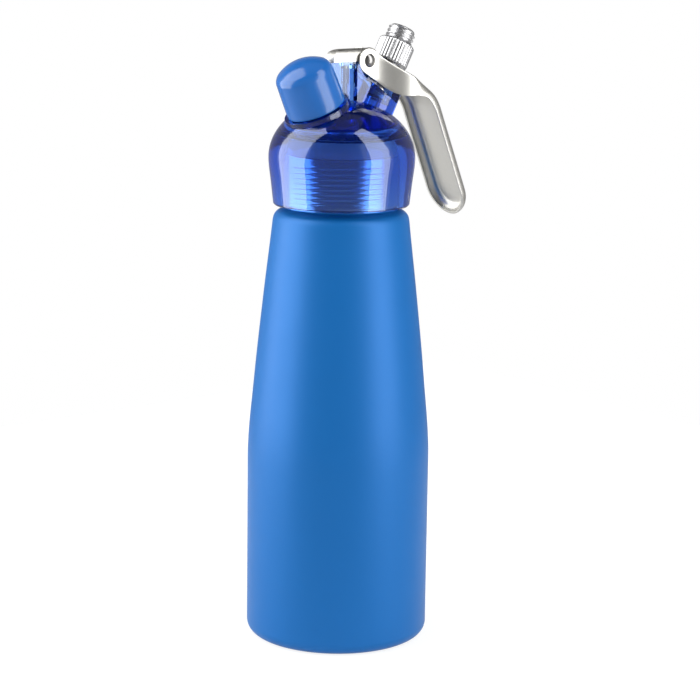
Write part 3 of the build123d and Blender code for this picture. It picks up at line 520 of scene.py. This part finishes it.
def make_rivet():
    """Pivot rivet with two smooth domed heads."""
    ball = dome_radius(RIVET_R, RIVET_RISE)
    dome = []
    for i in range(RIVET_STEPS + 1):
        r = RIVET_R * math.sin(math.radians(90 * i / RIVET_STEPS))
        dome.append((r, dome_height(EYE_HALF + RIVET_RISE, ball, r)))
    shank = [(SHANK_R, EYE_HALF), (SHANK_R, -EYE_HALF)]
    profile = dome + shank + [(r, -h) for r, h in reversed(dome)]
    matrix = Matrix.Translation(metres(PIVOT[0], 0, PIVOT[1])) @ Matrix.Rotation(math.radians(90), 4, "X")
    rivet = turned("rivet", profile, RIVET_SEGMENTS, [bright_steel], matrix)
    crisp(rivet, 40)
    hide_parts("lever_pin")
    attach(rivet, "lever")


# ---- valve spring -------------------------------------------------------------------------------
SPRING_BOTTOM_Z = 245.55
SPRING_TOP_Z = 250.9
SPRING_COILS = 5
SPRING_MEAN_R = 1.6
SPRING_WIRE_R = 0.28
STEPS_PER_COIL = 32
WIRE_SIDES = 12


def make_spring():
    """Round-wire coil between the stem's collar and the retainer, made at one fixed length."""
    steps = SPRING_COILS * STEPS_PER_COIL
    rise = SPRING_TOP_Z - SPRING_BOTTOM_Z - 2 * SPRING_WIRE_R
    slope = rise / (2 * math.pi * SPRING_COILS * SPRING_MEAN_R)
    turns = [2 * math.pi * i / WIRE_SIDES for i in range(WIRE_SIDES)]
    rows = []
    for step in range(-1, steps + 2):
        share = clamped(step / steps)
        wire = SPRING_WIRE_R if 0 <= step <= steps else 0
        turn = 2 * math.pi * SPRING_COILS * share
        outward = Vector((math.cos(turn), math.sin(turn), 0))
        centre = outward * SPRING_MEAN_R + Vector((0, 0, SPRING_BOTTOM_Z + SPRING_WIRE_R + rise * share))
        along = Vector((-math.sin(turn), math.cos(turn), slope)).normalized()
        across = along.cross(outward)
        rows.append([(centre + (outward * math.cos(t) + across * math.sin(t)) * wire) / 1000 for t in turns])
    coil = grid_object("spring_coil", rows, [bright_steel])
    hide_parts("valve_spring")
    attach(coil, "head")
    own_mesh(coil)


# ---- lever --------------------------------------------------------------------------------------
# A way is a direction in the plane of the lever, and a pull is the length of a curve's end tangent.
# FROM and TO are the x between which a measure goes from its value at the neck to that at the handle.
EYE_R = 5.6
EYE_STEPS = 12
NECK_WAY = (0.77, -0.64)
NECK_BEND = 1.05
NECK_PULL = 3
FLARE_FROM = 12.5
FLARE_TO = 31.5
HANDLE_WAY = (0.3795, -0.9252)
HANDLE_IN = (-0.9252, -0.3795)
HANDLE_HALF = 12.0
HANDLE_DEPTH = 4.8
HANDLE_BEND = 4.6
HANDLE_PULL = 6
HANDLE_TOP = (47.8, 232.4)
HANDLE_STEPS = 12
TIP_CENTRE = (62.66, 196.15)
TIP_SPOKES = 24
BEND_FROM = 30
BEND_TO = 40
CURVE_STEPS = 6
SECTION_STEPS = 8
FLAT_STEPS = 5
WINDOW_START = 3
WINDOW_END = 34.5
WINDOW_CORNER = 4.0
CUTTER_LOW = 225
CUTTER_HIGH = 275
SHEET = 1.0
EDGE_BEVEL = 0.22
LEVER_WELD = 2e-6


def lever_half_width(x):
    """The lever flares from its eyes to the handle's width."""
    return EYE_HALF + (HANDLE_HALF - EYE_HALF) * smooth_step(FLARE_FROM, FLARE_TO, x)


def stretched(way, length):
    """A direction in the plane of the lever, made this long."""
    return (way[0] * length, way[1] * length)


def lever_ladder():
    """Pairs of points on the back and on the free edge, from the eye's end to the handle's round end."""
    pairs = []
    for step in range(1, EYE_STEPS + 1):
        along = -EYE_R * math.cos(math.radians(90 * step / EYE_STEPS))
        off = math.sqrt(EYE_R**2 - along**2)
        middle = (PIVOT[0] + along * NECK_WAY[0], PIVOT[1] + along * NECK_WAY[1])
        rise = (-NECK_WAY[1] * off, NECK_WAY[0] * off)
        pairs.append(((middle[0] + rise[0], middle[1] + rise[1]), (middle[0] - rise[0], middle[1] - rise[1])))
    back = [pairs[-1][0], (17.2, 256.0), (20.5, 253.45), (24.4, 250.8), (29.0, 248.1), (33.5, 245.5)]
    back += [(39.3, 242.1), (44.35, 237.97), HANDLE_TOP]
    front = [pairs[-1][1], (10.8, 247.8), (14.7, 245.3), (18.3, 242.4), (22.4, 239.95), (26.8, 238.8)]
    front += [(33.3, 238.7), (38.87, 237.0)]
    front.append([a + b * HANDLE_DEPTH for a, b in zip(HANDLE_TOP, HANDLE_IN)])
    ends = (stretched(NECK_WAY, NECK_PULL), stretched(HANDLE_WAY, HANDLE_PULL))
    pairs += list(zip(curve_through(back, *ends, CURVE_STEPS), curve_through(front, *ends, CURVE_STEPS)))[1:]
    for step in range(1, HANDLE_STEPS + 1):
        at = [a + (b - a) * step / HANDLE_STEPS for a, b in zip(HANDLE_TOP, TIP_CENTRE)]
        pairs.append((at, [a + HANDLE_DEPTH * b for a, b in zip(at, HANDLE_IN)]))
    return pairs


def lever_section(depth, bend):
    """(depth, inset) from the free edge up the wall and round the bend to the back, on one side."""
    wall = [(bend + (depth - bend) * (1 - i / SECTION_STEPS), 0) for i in range(SECTION_STEPS + 1)]
    turns = [math.radians(90 * i / SECTION_STEPS) for i in range(1, SECTION_STEPS + 1)]
    return wall + [(bend * (1 - math.sin(t)), bend * (1 - math.cos(t))) for t in turns]


def lever_row(back, front):
    """Points across the lever between one pair of the ladder, from free edge to free edge over the back."""
    depth = math.dist(back, front)
    way = [(f - b) / depth for b, f in zip(back, front)]
    bend = NECK_BEND + (HANDLE_BEND - NECK_BEND) * smooth_step(BEND_FROM, BEND_TO, back[0])
    row = []
    for down, inset in lever_section(depth, bend):
        x, z = back[0] + way[0] * down, back[1] + way[1] * down
        row.append((x, inset - lever_half_width(x), z))
    x, y, z = row[-1]
    row += [(x, y * (1 - i / FLAT_STEPS), z) for i in range(1, FLAT_STEPS + 1)]
    return row + [(x, -y, z) for x, y, z in reversed(row[:-1])]


def tip_spoke(turn):
    """Points on one spoke of the handle's round end, from its free edge to near its centre."""
    points = [(down, HANDLE_HALF - inset) for down, inset in lever_section(HANDLE_DEPTH, HANDLE_BEND)]
    points += [(0, points[-1][1] * (1 - i / FLAT_STEPS)) for i in range(1, FLAT_STEPS)]
    spoke = []
    for down, out in points:
        x = TIP_CENTRE[0] + HANDLE_IN[0] * down + HANDLE_WAY[0] * out * math.cos(turn)
        z = TIP_CENTRE[1] + HANDLE_IN[1] * down + HANDLE_WAY[1] * out * math.cos(turn)
        spoke.append((x, -out * math.sin(turn), z))
    return spoke


def strip_faces(mesh, rows):
    """Faces between each row of mesh points and the next."""
    for row, following in zip(rows, rows[1:]):
        for a, b, c, d in zip(row, row[1:], following[1:], following):
            mesh.faces.new((a, b, c, d))


def lever_skin():
    """The outer skin of the lever: the ladder's cross sections, then the fan of the handle's round end."""
    mesh = bmesh.new()
    rows = [[mesh.verts.new(metres(*p)) for p in lever_row(*pair)] for pair in lever_ladder()]
    strip_faces(mesh, rows)
    turns = [math.radians(90 - 180 * step / TIP_SPOKES) for step in range(TIP_SPOKES + 1)]
    fan = [[mesh.verts.new(metres(*p)) for p in tip_spoke(turn)] for turn in turns]
    centre = metres(TIP_CENTRE[0], 0, TIP_CENTRE[1])
    hub = mesh.verts.new(centre)
    for spoke, following in zip(fan, fan[1:]):
        strip_faces(mesh, [spoke, following])
        mesh.faces.new((spoke[-1], hub, following[-1]))
    bmesh.ops.remove_doubles(mesh, verts=mesh.verts, dist=LEVER_WELD)
    bmesh.ops.recalc_face_normals(mesh, faces=mesh.faces)
    outward = Vector((-HANDLE_IN[0], 0, -HANDLE_IN[1]))
    nearest = min(mesh.faces, key=lambda face: (face.calc_center_median() - centre).length)
    if nearest.normal.dot(outward) < 0:
        bmesh.ops.reverse_faces(mesh, faces=mesh.faces)
    return finished(mesh, "lever_skin")


def window_cutter():
    """The space between the cheeks, open at the eyes and rounded towards the handle."""
    straight = WINDOW_END - WINDOW_CORNER
    edge = [(x, lever_half_width(x) - NECK_BEND) for x in range(WINDOW_START, int(straight) + 1)]
    corner_y = lever_half_width(straight) - NECK_BEND - WINDOW_CORNER
    edge += arc((straight, corner_y), WINDOW_CORNER, 90, 0, 8)
    outline = edge + [(x, -y) for x, y in reversed(edge)]
    mesh = bmesh.new()
    low, high = [[mesh.verts.new(metres(x, y, z)) for x, y in outline] for z in (CUTTER_LOW, CUTTER_HIGH)]
    mesh.faces.new(low)
    mesh.faces.new(high)
    for i in range(len(outline)):
        j = (i + 1) % len(outline)
        mesh.faces.new((low[i], low[j], high[j], high[i]))
    bmesh.ops.recalc_face_normals(mesh, faces=mesh.faces)
    return finished(mesh, "window_cutter")


def make_lever():
    """Stamped lever: flared cheeks with a window between them, and a dished handle with turned edges."""
    blank = linked("lever_blank", lever_skin())
    cutter = linked("window_cutter", window_cutter())
    cut = blank.modifiers.new("window", "BOOLEAN")
    cut.operation = "DIFFERENCE"
    cut.solver = "EXACT"
    cut.object = cutter
    sheet = blank.modifiers.new("sheet", "SOLIDIFY")
    sheet.thickness = SHEET / 1000
    sheet.offset = -1
    edges = blank.modifiers.new("edges", "BEVEL")
    edges.width = EDGE_BEVEL / 1000
    edges.segments = 2
    edges.limit_method = "ANGLE"
    edges.angle_limit = math.radians(50)
    bpy.context.view_layer.update()
    found = blank.evaluated_get(bpy.context.evaluated_depsgraph_get())
    data = bpy.data.meshes.new_from_object(found)
    data.name = "lever_stamping"
    lever = linked("lever_stamping", data)
    bpy.data.objects.remove(blank)
    bpy.data.objects.remove(cutter)
    data.materials.clear()
    data.materials.append(lever_steel)
    crisp(lever, 35)
    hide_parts("lever")
    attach(lever, "lever")


# ---- floor, light and camera --------------------------------------------------------------------
VIEW_TURN = math.radians(-38)
VIEW_RIGHT = Vector((math.cos(VIEW_TURN), math.sin(VIEW_TURN), 0))
VIEW_AWAY = Vector((-math.sin(VIEW_TURN), math.cos(VIEW_TURN), 0))

CAMERA_PITCH = 11.62
CAMERA_ROLL = 0.79
CAMERA_YAW = 0.27
CAMERA_PLACE = (-0.6157, -0.7880, 0.3334)
CAMERA_LENS = 119.56
CAMERA_SENSOR = 36

FLOOR_HALF = 0.42
FLOOR_GLOW = 1.1
GLOW_SHARE = 0.75

# Levels in reflections on the camera's side, at the far side and overhead, of the sheet seen through the
# plastic on the camera's side, and of the even light.
FRONT_LIGHT = 0.32
SIDE_LIGHT = 0.36
CEILING_LIGHT = 0.10
FRONT_SHEET = 0.25
ROOM_LIGHT = 0.45
WHITE = (1, 1, 1, 1)


def facing_away(tree, position):
    """How far a point or direction lies on the far side of the object, along the line of sight."""
    facing = tree.nodes.new("ShaderNodeVectorMath")
    facing.operation = "DOT_PRODUCT"
    facing.inputs[1].default_value = VIEW_AWAY
    tree.links.new(position, facing.inputs[0])
    return facing.outputs["Value"]


def floor_white():
    """White that keeps the object's shadow for the camera, and glows in metal and through plastic."""
    material, tree, shader = new_material("floor_white")
    feed(tree, shader, Base_Color=(0.9, 0.9, 0.9, 1), Roughness=1.0, Specular_IOR_Level=0.0)
    ray = tree.nodes.new("ShaderNodeLightPath").outputs
    away = facing_away(tree, surface_point(tree))
    sheet = graded(tree, away, low=-0.5, high=0.15, start=FRONT_LIGHT, end=1.0)
    strength = chosen(tree, ray["Is Camera Ray"], sheet, FLOOR_GLOW)
    glow = put(tree, "ShaderNodeEmission", Color=WHITE, Strength=strength)
    share = combined(tree, "MULTIPLY", ray["Is Camera Ray"], GLOW_SHARE)
    for kind in ("Is Glossy Ray", "Is Transmission Ray"):
        share = combined(tree, "MAXIMUM", share, ray[kind])
    surface = mixed(tree, share, shader.outputs["BSDF"], glow.outputs["Emission"])
    feed(tree, tree.nodes["Material Output"], Surface=surface)
    return material


def make_floor():
    """A white table top, as white as the backdrop around it."""
    half = FLOOR_HALF
    corners = [(-half, -half, 0), (half, -half, 0), (half, half, 0), (-half, half, 0)]
    mesh = bpy.data.meshes.new("floor")
    mesh.from_pydata(corners, [], [(0, 1, 2, 3)])
    mesh.materials.append(floor_white())
    floor = linked("floor", mesh)


def make_world():
    """White to the camera, a dim studio in reflections, a sheet through plastic, an even light elsewhere."""
    world = bpy.data.worlds.new("studio")
    world.use_nodes = True
    tree = world.node_tree
    tree.nodes.clear()
    ray = tree.nodes.new("ShaderNodeLightPath").outputs
    direction = tree.nodes.new("ShaderNodeTexCoord").outputs["Generated"]
    away = facing_away(tree, direction)
    height = put(tree, "ShaderNodeSeparateXYZ", Vector=direction).outputs["Z"]
    sheet = graded(tree, away, low=-0.6, high=0.2, start=FRONT_SHEET, end=1.0)
    walls = graded(tree, away, low=-0.5, high=0.6, start=FRONT_LIGHT, end=SIDE_LIGHT)
    ceiling = graded(tree, height, low=0.25, high=0.8, start=1.0, end=CEILING_LIGHT)
    studio = combined(tree, "MULTIPLY", walls, ceiling)
    shine = chosen(tree, ray["Is Transmission Ray"], studio, sheet)
    level = chosen(tree, ray["Is Diffuse Ray"], shine, ROOM_LIGHT)
    light = put(tree, "ShaderNodeBackground", Color=WHITE, Strength=level)
    seen = put(tree, "ShaderNodeBackground", Color=WHITE, Strength=1.0)
    surface = mixed(tree, ray["Is Camera Ray"], light.outputs["Background"], seen.outputs["Background"])
    put(tree, "ShaderNodeOutputWorld", Surface=surface)
    scene.world = world


def softbox(name, right, away, height, size, power, aim_z=0.17):
    """An area light aimed at the bottle's axis, placed to its right and behind it as the camera sees it."""
    light = bpy.data.lights.new(name, "AREA")
    light.shape = "RECTANGLE"
    light.size, light.size_y = size
    light.energy = power
    lamp = linked(name, light)
    lamp.location = VIEW_RIGHT * right + VIEW_AWAY * away + Vector((0, 0, height))
    toward = Vector((0, 0, aim_z)) - lamp.location
    lamp.rotation_euler = toward.to_track_quat("-Z", "Y").to_euler()


def make_lights():
    """Two tall strips for the plastic's highlights, two weak low boxes and a weak one above."""
    softbox("left_strip", right=-1.09, away=-0.05, height=1.05, size=(1.30, 3.5), power=54.0, aim_z=0.90)
    softbox("left_box", right=-1.25, away=-0.06, height=0.50, size=(1.70, 1.8), power=4.0, aim_z=0.4)
    softbox("right_strip", right=1.00, away=-0.50, height=1.05, size=(0.78, 3.5), power=34.0, aim_z=0.90)
    softbox("right_box", right=1.10, away=-0.62, height=0.50, size=(1.30, 1.8), power=4.0, aim_z=0.4)
    softbox("top_box", right=0.0, away=0.2, height=1.5, size=(0.9, 0.9), power=0.5)


def make_camera():
    """The photograph's camera."""
    pitch, roll, yaw = (math.radians(a) for a in (CAMERA_PITCH, CAMERA_ROLL, CAMERA_YAW))
    forward = Vector((math.sin(yaw) * math.cos(pitch), math.cos(yaw) * math.cos(pitch), -math.sin(pitch)))
    level = Vector((math.cos(yaw), -math.sin(yaw), 0))
    up = level.cross(forward)
    right = level * math.cos(roll) + up * math.sin(roll)
    top = -level * math.sin(roll) + up * math.cos(roll)
    turn = Matrix.Rotation(VIEW_TURN, 3, "Z")
    basis = Matrix((turn @ right, turn @ top, turn @ -forward)).transposed().to_4x4()
    basis.translation = Vector(CAMERA_PLACE)
    data = bpy.data.cameras.new("camera")
    data.lens = CAMERA_LENS
    data.sensor_width = CAMERA_SENSOR
    camera = linked("camera", data)
    camera.matrix_world = basis
    scene.camera = camera


make_bottle()
make_cap()
make_adapter()
make_rivet()
make_spring()
make_lever()
make_floor()
make_world()
make_camera()
make_lights()
scene.view_settings.view_transform = "Standard"
